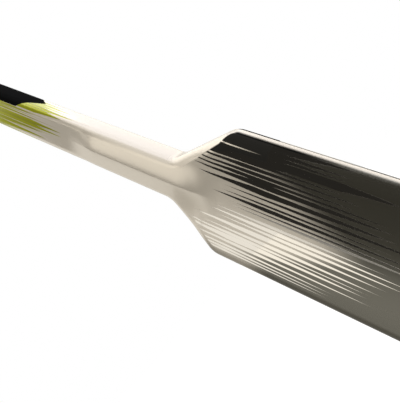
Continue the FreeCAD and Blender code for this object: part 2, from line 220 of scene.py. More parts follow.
class Edge:
    """One long edge of the stick's plan, runs and bends in turn from the butt to the middle of the toe."""

    def __init__(self, corners: list[tuple[np.ndarray, float]]) -> None:
        """Rounds each corner by its radius with a bend that touches both neighbouring runs.

        Args:
            corners: Corner points with the radius of each, 0 for the two ends.
        """
        self.stretches: list[Run | Bend] = []
        place = corners[0][0]
        for index in range(1, len(corners) - 1):
            corner, radius = corners[index]
            way_in = corner - corners[index - 1][0]
            way_out = corners[index + 1][0] - corner
            way_in = way_in / np.linalg.norm(way_in)
            way_out = way_out / np.linalg.norm(way_out)
            cross = way_in[0] * way_out[1] - way_in[1] * way_out[0]
            turn = math.atan2(cross, way_in @ way_out)
            reach = radius * math.tan(abs(turn) / 2)
            entry = corner - reach * way_in
            normal = np.sign(turn) * np.array([-way_in[1], way_in[0]])
            centre = entry + radius * normal
            first = math.atan2(-normal[1], -normal[0])
            self.stretches += [Run(place, entry), Bend(centre, radius, first, turn)]
            place = corner + reach * way_out
        self.stretches.append(Run(place, corners[-1][0]))
        self.ends = np.cumsum([stretch.length for stretch in self.stretches])

    def points(self, reach: np.ndarray) -> np.ndarray:
        """Points along the edge, each at its share of the stretch that it falls in.

        Args:
            reach: Distances along the edge from the butt.

        Returns:
            Plan points, one row each.
        """
        made = np.zeros((len(reach), 2))
        number = np.searchsorted(self.ends, reach, side="left").clip(0, len(self.ends) - 1)
        for index, stretch in enumerate(self.stretches):
            here = number == index
            start = self.ends[index] - stretch.length
            made[here] = stretch.points((reach[here] - start) / stretch.length)
        return made

    def distance(self, plan: np.ndarray) -> np.ndarray:
        """Distance of plan points from the nearest stretch of the edge."""
        return np.min([stretch.distance(plan) for stretch in self.stretches], axis=0)


def smooth(low: float, high: float, values: np.ndarray) -> np.ndarray:
    """Smooth step from 0 at low to 1 at high: 3 t^2 - 2 t^3 of the share t between them."""
    share = np.clip((values - low) / (high - low), 0, 1)
    return share * share * (3 - 2 * share)


@dataclass(frozen=True)
class Stretch:
    """Range of stations, up to a distance along the outer and the inner edge."""

    name: str
    outer: float
    inner: float
    count: int


@dataclass(frozen=True)
class GripFacets:
    """Five-sided grip: the flat front runs out like a tongue into a ridge between two facets."""

    tilt: float = 12.0
    ridge_rise: float = 0.0028
    crease: float = 0.0042
    end_crease: float = 0.011
    crease_from: float = -0.044
    half_width: float = 0.015
    cap: float = 0.0165
    cap_crease: float = 0.006
    tongue_start: float = 0.058
    tongue_tip: float = 0.026
    tongue_power: float = 1.6
    end_start: float = -0.060
    end_tip: float = -0.075
    end_power: float = 1.8
    fade_start: float = -0.052
    flat_again: float = -0.078

    @staticmethod
    def past(values: np.ndarray, crease: np.ndarray | float) -> np.ndarray:
        """Values above 0, softened to (q + root(q^2 + crease^2)) / 2."""
        return (values + np.sqrt(values ** 2 + crease ** 2)) / 2

    def offset(self, across: np.ndarray, along: np.ndarray) -> np.ndarray:
        """How far the front lies behind its flat plane.

        A facet falls by the tangent of the tilt times the softened distance past the flat tongue, as
        far as the cap. The tongue's half width shrinks from the shaft's to nothing by a power of the
        share of its length, and grows again below the neck. The ridge stands proud in between.

        Args:
            across: Distances across the stick.
            along: Distances up the shaft.

        Returns:
            Offset toward the back, below 0 where the ridge stands proud.
        """
        upper = np.clip((along - self.tongue_tip) / (self.tongue_start - self.tongue_tip), 0, 1)
        lower = np.clip((self.end_start - along) / (self.end_start - self.end_tip), 0, 1)
        tongue = self.half_width * (upper ** self.tongue_power + lower ** self.end_power)
        capped = np.abs(across) - self.past(np.abs(across) - self.cap, self.cap_crease)
        starts = 1 - smooth(self.tongue_tip, self.tongue_start, along)
        ends = smooth(self.flat_again, self.fade_start, along)
        inside = starts * smooth(self.end_start, self.crease_from, along)
        crease = self.crease + (self.end_crease - self.crease) * (1 - inside)
        fall = math.tan(math.radians(self.tilt)) * self.past(capped - tongue, crease)
        shown = 1 - smooth(self.tongue_start - 2 * self.end_crease, self.tongue_start, along)
        return (fall * shown - self.ridge_rise * starts) * ends


@dataclass
class LaminateSkin:
    """Outer skin of shaft, grip, paddle and blade, one surface cut into three pieces."""

    lean: Lean = Lean()
    facets: GripFacets = GripFacets()
    butt: float = 0.754
    grip_top: float = 0.054
    facets_top: float = 0.074
    half_shaft: float = 0.015
    half_depth: float = 0.010
    shaft_round: float = 0.005
    edge_round: float = 0.0065
    neck: float = -0.0409
    neck_round: float = 0.012
    half_paddle: float = 0.044
    shoulder: float = -0.077
    shoulder_round: float = 0.014
    sole: float = -0.704
    join_rise: float = 0.115
    blade_height: float = 0.088
    blade_reach: float = 0.330
    toe_height: float = 0.082
    toe_rise: float = 0.005
    toe_run: float = 0.090
    heel_round: float = 0.035
    crotch_round: float = 0.025
    sole_round: float = 0.300
    toe_upper_round: float = 0.032
    toe_lower_round: float = 0.022
    curve_run: float = 0.350
    front_curve: float = 0.015
    back_curve: float = 0.021
    round_steps: int = 8
    face_steps: int = 44
    widest_stretch: float = 1.4

    @property
    def heel_axis(self) -> np.ndarray:
        """Plan point where the axis of the shaft meets the sole."""
        return self.lean.plan(0, self.sole)

    def blade(self, reach: float, height: float) -> np.ndarray:
        """Plan point of a place on the blade, from the heel's axis point toward the toe and up."""
        return self.heel_axis + np.array([reach, height])

    def edges(self) -> tuple[Edge, Edge]:
        """Outer and inner long edge of the plan, each rounded at its corners.

        Returns:
            The edge over heel and sole, and the edge over crotch and the blade's top.
        """
        cosine, sine = self.lean.across
        heel_along = self.half_paddle * sine / cosine
        crotch_along = (self.blade_height - self.half_paddle * sine) / cosine
        toe_middle = self.blade(self.blade_reach, (self.toe_rise + self.toe_height) / 2)
        outer = [
            (self.lean.plan(-self.half_shaft, self.butt), 0),
            (self.lean.plan(-self.half_shaft, self.neck), self.neck_round),
            (self.lean.plan(-self.half_paddle, self.shoulder), self.shoulder_round),
            (self.lean.plan(-self.half_paddle, self.sole + heel_along), self.heel_round),
            (self.blade(self.blade_reach - self.toe_run, 0), self.sole_round),
            (self.blade(self.blade_reach, self.toe_rise), self.toe_lower_round),
            (toe_middle, 0),
        ]
        inner = [
            (self.lean.plan(self.half_shaft, self.butt), 0),
            (self.lean.plan(self.half_shaft, self.neck), self.neck_round),
            (self.lean.plan(self.half_paddle, self.shoulder), self.shoulder_round),
            (self.lean.plan(self.half_paddle, self.sole + crotch_along), self.crotch_round),
            (self.blade(self.blade_reach, self.toe_height), self.toe_upper_round),
            (toe_middle, 0),
        ]
        return Edge(outer), Edge(inner)

    def stretches(self, outer: Edge, inner: Edge) -> list[Stretch]:
        """Ranges of stations from the butt to the toe, ending at the same features on both edges.

        Args:
            outer: Edge over heel and sole.
            inner: Edge over crotch and the blade's top.

        Returns:
            The ranges in their order.
        """
        reach = {part: np.array([outer.ends[part], inner.ends[part]]) for part in Part}
        paddle_start = outer.stretches[Part.PADDLE].start
        above_join = (paddle_start - self.heel_axis) @ self.lean.along - self.join_rise
        ends = {
            "shaft": np.full(2, self.butt - self.facets_top),
            "facet_start": np.full(2, self.butt - self.grip_top),
            "grip": reach[Part.GRIP],
            "neck": reach[Part.NECK],
            "shoulder": reach[Part.SHOULDER],
            "shoulder_bend": reach[Part.SHOULDER_BEND],
            "paddle": reach[Part.SHOULDER_BEND] + above_join,
            "join": reach[Part.PADDLE],
            "heel": reach[Part.HEEL],
            "blade": reach[Part.BLADE],
            "toe": reach[Part.TOE],
        }
        return [Stretch(name, *ends[name], count) for name, count in STATIONS.items()]

    def stations(self, outer: Edge, inner: Edge) -> tuple[np.ndarray, np.ndarray, dict[str, int]]:
        """Points on both edges at every station.

        Args:
            outer: Edge over heel and sole.
            inner: Edge over crotch and the blade's top.

        Returns:
            Outer points, inner points, and the station that each range ends at, by its name.
        """
        reach_outer, reach_inner, stops = [np.zeros(1)], [np.zeros(1)], {}
        for stretch in self.stretches(outer, inner):
            shares = np.arange(1, stretch.count + 1) / stretch.count
            reach_outer.append(reach_outer[-1][-1] + shares * (stretch.outer - reach_outer[-1][-1]))
            reach_inner.append(reach_inner[-1][-1] + shares * (stretch.inner - reach_inner[-1][-1]))
            stops[stretch.name] = sum(len(part) for part in reach_outer) - 1
        return outer.points(np.concatenate(reach_outer)), inner.points(np.concatenate(reach_inner)), stops

    def slant(self, edge: np.ndarray, across: np.ndarray) -> np.ndarray:
        """How much longer the way in from an edge is along a station than square to the edge.

        Args:
            edge: Edge point of each station.
            across: Direction of each station from edge to edge.

        Returns:
            1 over the sine between edge and station, no more than the widest stretch.
        """
        way = np.gradient(edge, axis=0)
        way = way / np.linalg.norm(way, axis=1)[:, None]
        square = np.abs(way[:, 0] * across[:, 1] - way[:, 1] * across[:, 0])
        return np.minimum(1 / np.maximum(square, 1 / self.widest_stretch), self.widest_stretch)

    def plan_grid(self, outer: np.ndarray, inner: np.ndarray, radius: np.ndarray) -> np.ndarray:
        """Plan points between the edges, close together where the faces round into the rim.

        From each edge the points lie radius * (1 - cos angle) inward, measured square to the edge, for
        even angles up to a right angle, and evenly between the two roundings.

        Args:
            outer: Outer edge point of each station.
            inner: Inner edge point of each station.
            radius: Edge radius of each station.

        Returns:
            Array of stations by points by two.
        """
        across = inner - outer
        width = np.linalg.norm(across, axis=1)
        across = across / width[:, None]
        rounding = 1 - np.cos(np.linspace(0, math.pi / 2, self.round_steps + 1))
        from_outer = (radius * self.slant(outer, across))[:, None] * rounding
        from_inner = width[:, None] - (radius * self.slant(inner, across))[:, None] * rounding
        shares = np.arange(1, self.face_steps) / self.face_steps
        middle = from_outer[:, -1:] + shares * (from_inner[:, -1:] - from_outer[:, -1:])
        places = np.concatenate([from_outer, middle, from_inner[:, ::-1]], axis=1)
        return outer[:, None, :] + places[:, :, None] * across[:, None, :]

    def curve(self, plan: np.ndarray, depth: float) -> np.ndarray:
        """Bend of a blade face to the front, an arc that starts at the heel's axis.

        Args:
            plan: Plan points, X and Z along the last axis.
            depth: Depth of the arc at the end of its run.

        Returns:
            R - root(R^2 - reach^2) at each point, for the radius R that gives the depth.
        """
        radius = (self.curve_run ** 2 + depth ** 2) / (2 * depth)
        reach = np.maximum(plan[..., 0] - self.heel_axis[0], 0)
        return radius - np.sqrt(radius ** 2 - reach ** 2)

    def sheets(self) -> tuple[np.ndarray, np.ndarray, np.ndarray, dict[str, int]]:
        """Front and back sheet of the whole skin.

        At a plan point that lies d inside the edge, a face stands half the depth off the middle, less
        R - root(R^2 - (R - d)^2) where d is below the edge radius R. The front then takes the facets of
        the grip, and both faces take the curve of the blade.

        Returns:
            Front points, back points, distance down the stick of each station, last station of each range.
        """
        outer_edge, inner_edge = self.edges()
        outer, inner, stops = self.stations(outer_edge, inner_edge)
        steps = np.linalg.norm(np.diff((outer + inner) / 2, axis=0), axis=1)
        down = np.concatenate([[0], np.cumsum(steps)]) - self.butt
        blend = smooth(-self.neck, -self.shoulder, down)
        radius = self.shaft_round + (self.edge_round - self.shaft_round) * blend
        plan = self.plan_grid(outer, inner, radius)
        inside = np.minimum(outer_edge.distance(plan), inner_edge.distance(plan))
        inside[:, [0, -1]] = 0
        inside[-1] = 0
        ring = radius[:, None]
        left = ring - np.minimum(inside, ring)
        drop = ring - np.sqrt(np.maximum(ring ** 2 - left ** 2, 0))
        facet = self.facets.offset(plan @ self.lean.across, plan @ self.lean.along)
        front = drop - self.half_depth - self.curve(plan, self.front_curve) + facet
        back = self.half_depth - drop - self.curve(plan, self.back_curve)
        front_points = np.stack([plan[..., 0], front, plan[..., 1]], axis=-1)
        back_points = np.stack([plan[..., 0], back, plan[..., 1]], axis=-1)
        return front_points, back_points, down, stops

    def build(self) -> dict[str, bpy.types.Object]:
        """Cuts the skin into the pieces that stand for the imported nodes.

        Returns:
            The pieces by name.
        """
        front, back, down, stops = self.sheets()
        grip, join, toe = stops["facet_start"], stops["paddle"], stops["toe"]
        cuts = {
            "shaft_skin": (0, grip, ("shaft_tube",)),
            "paddle_skin": (grip, join, (
                "grip_front", "grip_back", "paddle_front_skin", "paddle_back_skin",
                "paddle_rail_inner", "paddle_rail_outer",
            )),
            "blade_skin": (join, toe, ("blade_edge", "blade_front_skin", "blade_back_skin")),
        }
        pieces = {}
        for name, (first, last, nodes) in cuts.items():
            rows = slice(first, last + 1)
            piece = self.piece(name, front[rows], back[rows], down[rows])
            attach(piece, BODY)
            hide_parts(*nodes)
            pieces[name] = piece
            LOG.info("%s: %d faces, stands for %s", name, len(piece.data.polygons), ", ".join(nodes))
        return pieces

    @staticmethod
    def lay(sheet: np.ndarray, down: np.ndarray, side: Side) -> np.ndarray:
        """Lay of a sheet: distance down the stick, and length over the sheet from its middle line.

        Args:
            sheet: Points of the sheet, stations by points by three.
            down: Distance down the stick of each station.
            side: Face that the sheet is.

        Returns:
            Array of stations by points by two.
        """
        steps = np.linalg.norm(np.diff(sheet, axis=1), axis=2)
        over = np.concatenate([np.zeros((len(sheet), 1)), np.cumsum(steps, axis=1)], axis=1)
        over -= over[:, over.shape[1] // 2, None]
        lanes = over + side.value * FACE_PITCH
        return np.stack([np.broadcast_to(down[:, None], over.shape), lanes], axis=-1)

    @staticmethod
    def rim_lay(row: np.ndarray, down: np.ndarray, side: Side) -> np.ndarray:
        """Lay of one long side of the rim: distance down the stick, and depth."""
        return np.stack([down, row[:, 1] + side.value * FACE_PITCH], axis=-1)

    @staticmethod
    def quads(first: np.ndarray, second: np.ndarray, order: int, width: tuple[int, ...] = ()) -> np.ndarray:
        """Corners of the quads between two rows, or between two grids row by row.

        Args:
            first: Vertex numbers, or places on the lay map.
            second: The same on the other side.
            order: 1 to turn from the first to the second, -1 for the other way.
            width: Shape of one value, empty for a number.

        Returns:
            Array of quads by four corners, and by that width.
        """
        corners = [first[:-1], first[1:], second[1:], second[:-1]][::order]
        return np.stack(corners, axis=first.ndim - len(width)).reshape(-1, 4, *width)

    def piece(self, name: str, front: np.ndarray, back: np.ndarray, down: np.ndarray) -> bpy.types.Object:
        """Closed mesh of some stations: two sheets, the rim on both sides and a wall at each end.

        Args:
            name: Name of the piece.
            front: Front points, stations by points by three.
            back: Back points.
            down: Distance down the stick of each station.

        Returns:
            The object, at the origin, with its lay as a UV map.
        """
        rows, points = front.shape[:2]
        near = np.arange(rows * points).reshape(rows, points)
        far = near + rows * points
        near_lay = self.lay(front, down, Side.FRONT)
        far_lay = self.lay(back, down, Side.BACK)
        pairs = [
            (near[:, :-1], near[:, 1:], near_lay[:, :-1], near_lay[:, 1:], 1),
            (far[:, :-1], far[:, 1:], far_lay[:, :-1], far_lay[:, 1:], -1),
        ]
        for column, side, order in ((points - 1, Side.INNER, 1), (0, Side.OUTER, -1)):
            rim_lays = (self.rim_lay(sheet[:, column], down, side) for sheet in (front, back))
            pairs.append((near[:, column], far[:, column], *rim_lays, order))
        for row, order in ((0, 1), (rows - 1, -1)):
            pairs.append((near[row], far[row], near_lay[row], far_lay[row], order))
        faces = [self.quads(first, second, order) for first, second, _, _, order in pairs]
        lays = [self.quads(first, second, order, (2,)) for _, _, first, second, order in pairs]
        vertices = np.concatenate([front.reshape(-1, 3), back.reshape(-1, 3)])
        return new_piece(name, vertices, np.concatenate(faces), np.concatenate(lays))


def new_piece(name: str, vertices: np.ndarray, faces: np.ndarray, lay: np.ndarray) -> bpy.types.Object:
    """Smooth mesh object at the origin, sharp only at its square ends.

    Args:
        name: Name of the object.
        vertices: Points in metres.
        faces: Vertex numbers of each quad, turning left seen from outside.
        lay: Place of each quad's corners on the lay map.

    Returns:
        The object, linked to the scene.
    """
    mesh = bpy.data.meshes.new(name)
    mesh.from_pydata(vertices.tolist(), [], faces.tolist())
    uv = mesh.uv_layers.new(name=LAY_MAP)
    uv.uv.foreach_set("vector", lay.astype(np.float32).ravel())
    mesh.shade_smooth()
    mesh.set_sharp_from_angle(angle=math.radians(SHARP_ANGLE))
    mesh.validate()
    piece = bpy.data.objects.new(name, mesh)
    bpy.context.scene.collection.objects.link(piece)
    return piece


def dress(piece: bpy.types.Object, material: bpy.types.Material) -> None:
    """Makes a material the only one of a piece."""
    piece.data.materials.clear()
    piece.data.materials.append(material)


class Signal:
    """Value in a material's node tree; arithmetic on it adds Math nodes."""

    def __init__(self, bench: "Bench", socket: bpy.types.NodeSocket) -> None:
        """Wraps an output socket."""
        self.bench = bench
        self.socket = socket

    def math(self, operation: str, *others: "Signal | float") -> "Signal":
        """Math node with this value first."""
        return self.bench.math(operation, self, *others)

    def __add__(self, other: "Signal | float") -> "Signal":
        """Sum."""
        return self.math("ADD", other)

    __radd__ = __add__

    def __sub__(self, other: "Signal | float") -> "Signal":
        """Difference."""
        return self.math("SUBTRACT", other)

    def __rsub__(self, other: float) -> "Signal":
        """Difference from a number."""
        return self.bench.math("SUBTRACT", other, self)

    def __mul__(self, other: "Signal | float") -> "Signal":
        """Product."""
        return self.math("MULTIPLY", other)

    __rmul__ = __mul__

    def __truediv__(self, other: "Signal | float") -> "Signal":
        """Quotient."""
        return self.math("DIVIDE", other)

    def __gt__(self, other: "Signal | float") -> "Signal":
        """1 where this value is greater, else 0."""
        return self.math("GREATER_THAN", other)

    def __lt__(self, other: "Signal | float") -> "Signal":
        """1 where this value is less, else 0."""
        return self.math("LESS_THAN", other)

    def floor(self) -> "Signal":
        """Whole number below."""
        return self.math("FLOOR")

    def size(self) -> "Signal":
        """Value without its sign."""
        return self.math("ABSOLUTE")

    def top(self, other: "Signal | float") -> "Signal":
        """Greater of two values."""
        return self.math("MAXIMUM", other)

    def low(self, other: "Signal | float") -> "Signal":
        """Lesser of two values."""
        return self.math("MINIMUM", other)

    def clamp(self) -> "Signal":
        """Value held between 0 and 1."""
        return self.low(1.0).top(0.0)

    def ramp(self, low: float, high: float) -> "Signal":
        """Straight step from 0 at low to 1 at high."""
        return ((self - low) / (high - low)).clamp()

    def step(self, low: float, high: float) -> "Signal":
        """Smooth step from 0 at low to 1 at high."""
        inputs = {"Value": self, "From Min": low, "From Max": high}
        return self.bench.value("ShaderNodeMapRange", {"interpolation_type": "SMOOTHSTEP"}, inputs)


class Bench:
    """Empty node tree of a material or a world, to which nodes are added."""

    MIX_SHARE, MIX_FIRST, MIX_SECOND = 0, 6, 7
    MIX_COLOUR = 2

    def __init__(self, owner: bpy.types.Material | bpy.types.World) -> None:
        """Clears the owner's tree.

        Args:
            owner: Material or world.
        """
        owner.use_nodes = True
        self.owner = owner
        self.tree = owner.node_tree
        self.tree.nodes.clear()

    @classmethod
    def material(cls, name: str) -> "Bench":
        """Bench of a new material."""
        return cls(bpy.data.materials.new(name))

    def node(self, kind: str, settings: dict | None = None, inputs: dict | None = None) -> bpy.types.Node:
        """Adds a node.

        Args:
            kind: Type of the node.
            settings: Its own settings, set first.
            inputs: Values or links of its sockets, by name or number.

        Returns:
            The node.
        """
        made = self.tree.nodes.new(kind)
        for name, value in (settings or {}).items():
            setattr(made, name, value)
        for key, value in (inputs or {}).items():
            socket = made.inputs[key]
            if isinstance(value, Signal):
                self.tree.links.new(value.socket, socket)
            elif isinstance(value, bpy.types.NodeSocket):
                self.tree.links.new(value, socket)
            else:
                socket.default_value = value
        return made

    def value(self, kind: str, settings: dict | None = None, inputs: dict | None = None,
              output: int | str = 0) -> Signal:
        """Adds a node and gives one of its outputs as a signal."""
        return Signal(self, self.node(kind, settings, inputs).outputs[output])

    def parts(self, kind: str, whole: bpy.types.NodeSocket) -> list[Signal]:
        """Adds a node that takes a vector or a colour apart, and gives its three parts."""
        return [Signal(self, output) for output in self.node(kind, None, {0: whole}).outputs]

    def math(self, operation: str, *values: "Signal | float") -> Signal:
        """Adds a Math node on up to three values."""
        return self.value("ShaderNodeMath", {"operation": operation}, dict(enumerate(values)))

    def mix(self, share: Signal, first: "Colour | Signal", second: "Colour | Signal") -> Signal:
        """Colour between two colours."""
        inputs = {self.MIX_SHARE: share, self.MIX_FIRST: first, self.MIX_SECOND: second}
        return self.value("ShaderNodeMix", {"data_type": "RGBA"}, inputs, self.MIX_COLOUR)

    def place(self) -> bpy.types.NodeSocket:
        """Object coordinates."""
        return self.node("ShaderNodeTexCoord").outputs["Object"]

    def noise(self, vector: bpy.types.NodeSocket, scale: float, detail: float) -> Signal:
        """Noise in space between 0 and 1 about a half."""
        return self.value("ShaderNodeTexNoise", None, {"Vector": vector, "Scale": scale, "Detail": detail})

    def line_noise(self, value: Signal, scale: float, detail: float) -> Signal:
        """Noise along one value between 0 and 1 about a half."""
        inputs = {"W": value, "Scale": scale, "Detail": detail}
        return self.value("ShaderNodeTexNoise", {"noise_dimensions": "1D"}, inputs)

    def finish(self, sockets: dict, height: Signal, depth: float) -> bpy.types.Material:
        """Adds the shader and the output.

        Args:
            sockets: Values or links of the shader's sockets.
            height: Height of the surface's relief, from 0 to 1.
            depth: Real height of that relief.

        Returns:
            The material.
        """
        bump = self.node("ShaderNodeBump", None, {"Height": height, "Distance": depth, "Strength": 1.0})
        shader = self.node("ShaderNodeBsdfPrincipled", None, {**sockets, "Normal": bump.outputs[0]})
        self.node("ShaderNodeOutputMaterial", None, {0: shader.outputs[0]})
        return self.owner


@dataclass(frozen=True)
class Face:
    """Place on the lay map: distance down the stick, across a face, and the face's number."""

    down: Signal
    lane: Signal
    across: Signal
    side: Signal

    @classmethod
    def read(cls, bench: Bench) -> "Face":
        """Reads the lay map; a lane is the place across plus the shift of its face.

        Args:
            bench: Tree of the material.

        Returns:
            The place.
        """
        uv = bench.node("ShaderNodeUVMap", {"uv_map": LAY_MAP})
        down, lane, _ = bench.parts("ShaderNodeSeparateXYZ", uv.outputs[0])
        side = (lane / FACE_PITCH + 0.5).floor()
        return cls(down, lane, lane - side * FACE_PITCH, side)

    @property
    def up(self) -> Signal:
        """Distance up the shaft."""
        return -1 * self.down

    @property
    def broad(self) -> Signal:
        """1 on the front and the back, 0 on the rims."""
        return 1 - self.side.math("MODULO", 2.0)

    def on(self, side: Side) -> Signal:
        """1 on one face, else 0."""
        return 1 - (self.side - side.value).size().clamp()


@dataclass(frozen=True)
class Flow:
    """How strips change over a face: how much earlier they start and end, and how much fuller they are."""

    lead: Signal | float = 0.0
    trim: Signal | float = 0.0
    extra: Signal | float = 0.0


@dataclass(frozen=True)
class Strips:
    """Set of long pointed strips in lanes along the stick, each from its own start to its own end.

    Fills are shares of a lane. Left to themselves the strips end beyond the stick.
    """

    pitch: float
    seed: float
    begin: float
    begin_spread: float
    tip: float
    fill: float
    fill_spread: float
    tip_spread: float = 0.0
    end: float = 9.0
    end_spread: float = 0.0
    tail: float = 1.0
    wander: float = 0.55
    wave_lanes: float = 3.0
    edge: float = 0.00018
    close: float = 0.05
    close_span: Span = (0.40, 0.48)
    blunt: float = 0.05
    blunt_below: float = 0.1
    least: float = 0.001

    @staticmethod
    def vary(value: float, spread: float, chance: Signal) -> Signal:
        """Value from a spread below it to a spread above it, by a chance between 0 and 1."""
        return value + 2 * spread * (chance - 0.5)

    def mask(self, bench: Bench, down: Signal, lane: Signal, flow: Flow) -> Signal:
        """Cover of the strips.

        A lane is the whole part of the place across over the pitch, moved by slow noise so that lanes
        differ in width. In it the strip covers fill times head times tail of the lane about its middle,
        where head and tail are the shares of the tip and of the tail that lie behind and ahead. Nearly
        full strips close up, and the thinnest ones stop short.

        Args:
            bench: Tree of the material.
            down: Distance along the strips.
            lane: Place across.
            flow: Change of the strips over the face.

        Returns:
            1 on a strip, 0 beside it.
        """
        slow = bench.line_noise(lane / (self.wave_lanes * self.pitch) + self.seed, 1.0, 1.0)
        place = lane / self.pitch + self.vary(self.seed, self.wander, slow)
        number = place.floor()
        draw = {"W": number + 0.5 + self.seed}
        chance = bench.node("ShaderNodeTexWhiteNoise", {"noise_dimensions": "1D"}, draw)
        one, two, three = bench.parts("ShaderNodeSeparateColor", chance.outputs["Color"])
        tip = self.vary(self.tip, self.tip * self.tip_spread, Signal(bench, chance.outputs["Value"]))
        begin = self.vary(self.begin, self.begin_spread, one) - flow.lead
        end = self.vary(self.end, self.end_spread, two) - flow.trim
        head = ((down - begin) / tip).clamp()
        tail = ((end - down) / self.tail).clamp()
        fill = self.vary(self.fill, self.fill_spread, three) + flow.extra
        half = fill * head * tail / 2
        thin = half.ramp(self.blunt_below, 0.0)
        half = half + self.close * half.ramp(*self.close_span) - self.blunt * thin
        off = (place - number - 0.5).size()
        cover = ((half - off) * (self.pitch / self.edge) + 0.5).clamp()
        return cover * (head * tail > self.least)


@dataclass(frozen=True)
class ShoulderCuts:
    """Lines just below the two shoulders of the paddle, where its strips are cut off."""

    inner_start: float = 0.0359
    inner_slope: float = 0.995
    corner: float = 0.0375
    corner_turn: float = 0.45
    outer_start: float = 0.0372
    outer_slope: float = 1.11
    edge: float = 0.0004

    def inner_line(self, face: Face) -> Signal:
        """How far a place lies below the straight line along the inner shoulder."""
        return face.down - self.inner_start - self.inner_slope * face.across

    def inner(self, face: Face) -> Signal:
        """How far a place lies below the inner cut, which is that line and turns at the corner."""
        return self.inner_line(face) + self.corner_turn * (face.across - self.corner).top(0.0)

    def outer(self, face: Face) -> Signal:
        """How far a place lies below the cut along the outer shoulder."""
        return face.down - self.outer_start + self.outer_slope * face.across

    def kept(self, face: Face) -> Signal:
        """1 below both cuts, 0 above either, over a thin soft edge."""
        return (self.inner(face).low(self.outer(face)) / self.edge).clamp()


@dataclass(frozen=True)
class MirrorStrips:
    """Mirror strips down the front and the back of the paddle, with dull black heads on the inner side,
    painted shade where the mirror would catch bright light.
    """

    strips: Strips = Strips(
        pitch=0.0033, seed=3.3, begin=0.075, begin_spread=0.006, tip=0.056, tip_spread=0.45,
        end=0.198, end_spread=0.014, tail=0.080, fill=0.70, fill_spread=0.18, wander=0.95,
    )
    lead: float = 0.036
    inner_lead: Span = (0.010, 0.028)
    outer_lead: Span = (-0.006, -0.024)
    middle: float = -0.003
    trim: float = 0.036
    trim_off: Span = (0.008, 0.034)
    inner_across: Span = (0.004, 0.016)
    inner_fill: float = 0.16
    later_fill: float = 0.12
    later_down: Span = (0.075, 0.100)
    later_more: float = 0.22
    later_across: Span = (0.018, 0.025)
    last_fill: float = 0.20
    last_down: Span = (0.125, 0.150)
    band_fill: float = 0.20
    band_across: Span = (0.001, -0.005)
    band_down: float = 0.130
    band_turn: float = -0.0105
    band_slope: float = 2.6
    band_edge: Span = (0.034, 0.01275)
    corner_fill: float = 1.0
    corner_across: Span = (0.0335, 0.0345)
    notch_fill: float = 3.0
    notch_place: float = 0.0395
    notch_half: float = 0.00055
    notch_end: Span = (0.112, 0.080)
    brim_fill: float = 0.70
    brim_across: Span = (-0.032, -0.039)
    # Painted shade: the strips' heads along the inner shoulder and the inner corner are dull black.
    painted_dull_reach: float = 0.0048
    painted_dull_slope: float = 1.2
    painted_dull_turn: float = 0.032
    painted_dull_from: float = 0.014
    painted_dull_corner: float = 0.0360
    painted_dull_end: float = 0.104

    def extra(self, face: Face) -> Signal:
        """How much fuller the strips are than by themselves.

        The inner half fills in three steps down the stick. A slanting band on the outer half is fuller,
        the inner corner is full but for one thin notch, and the outer brim is barer.

        Args:
            face: Place on the lay map.

        Returns:
            Share of a lane to add to the fill.
        """
        across, down = face.across, face.down
        later = self.later_fill + self.later_more * across.step(*self.later_across)
        last = self.last_fill * down.step(*self.last_down)
        inner = self.inner_fill + later * down.step(*self.later_down) + last
        centre = self.band_down - self.band_slope * (self.band_turn - across).top(0.0)
        band = (down - centre).size().ramp(*self.band_edge) * across.step(*self.band_across)
        notch = (across - self.notch_place).size().ramp(self.notch_half, 0.0) * down.step(*self.notch_end)
        return (across.step(*self.inner_across) * inner + self.band_fill * band
                + self.corner_fill * across.step(*self.corner_across) - self.notch_fill * notch
                - self.brim_fill * across.step(*self.brim_across))

    def cover(self, bench: Bench, face: Face, cuts: ShoulderCuts) -> Signal:
        """Cover of the strips, which start and end earlier toward the paddle's edges.

        Args:
            bench: Tree of the material.
            face: Place on the lay map.
            cuts: Lines where the strips are cut off.

        Returns:
            1 on a strip, 0 beside it.
        """
        lead = self.lead * (face.across.ramp(*self.inner_lead) + face.across.ramp(*self.outer_lead))
        trim = self.trim * (face.across - self.middle).size().step(*self.trim_off)
        flow = Flow(lead, trim, self.extra(face))
        return self.strips.mask(bench, face.down, face.lane, flow) * face.broad * cuts.kept(face)

    def painted_dull(self, face: Face, cuts: ShoulderCuts) -> Signal:
        """Where the strips are dull black as painted shade: at the heads along the inner shoulder, and in
        the inner corner.

        Args:
            face: Place on the lay map.
            cuts: Lines where the strips are cut off.

        Returns:
            1 where they are, else 0.
        """
        reach = self.painted_dull_reach + self.painted_dull_slope * (face.across - self.painted_dull_turn).top(0.0)
        heads = (cuts.inner(face) < reach) * (face.across > self.painted_dull_from)
        corner = (face.across > self.painted_dull_corner) * (face.down < self.painted_dull_end)
        return heads.top(corner)


@dataclass(frozen=True)
class CharcoalFade:
    """Fade of the paddle's faces from silver to charcoal paint, earlier toward the edges; along the outer
    brim two earlier steps of charcoal are painted shade on its rounding.
    """

    start: float = 0.153
    half: float = 0.018
    middle: float = -0.003
    edge_lead: float = 0.052
    edge_off: Span = (0.0035, 0.026)
    inner_less: float = 0.024
    inner_across: Span = (-0.003, 0.012)
    corner_lead: float = 0.034
    corner_across: Span = (0.024, 0.038)
    # Painted shade: earlier charcoal along the outer brim's rounding.
    brim_across: Span = (-0.030, -0.038)
    brim_shade_share: float = 0.42
    brim_shade_first: Span = (0.060, 0.075)
    brim_shade_second: Span = (0.098, 0.120)

    def share(self, face: Face) -> Signal:
        """Share of charcoal: one smooth step down the stick, and two lesser ones along the outer brim that
        are painted shade.

        Args:
            face: Place on the lay map.

        Returns:
            0 for silver, 1 for charcoal.
        """
        lead = self.edge_lead - self.inner_less * face.across.step(*self.inner_across)
        start = self.start - lead * (face.across - self.middle).size().ramp(*self.edge_off)
        start = start - self.corner_lead * face.across.ramp(*self.corner_across)
        share = (face.down - start).step(-self.half, self.half)
        first = self.brim_shade_share * face.down.step(*self.brim_shade_first)
        second = (1 - self.brim_shade_share) * face.down.step(*self.brim_shade_second)
        return share + face.across.step(*self.brim_across) * (first + second - share)


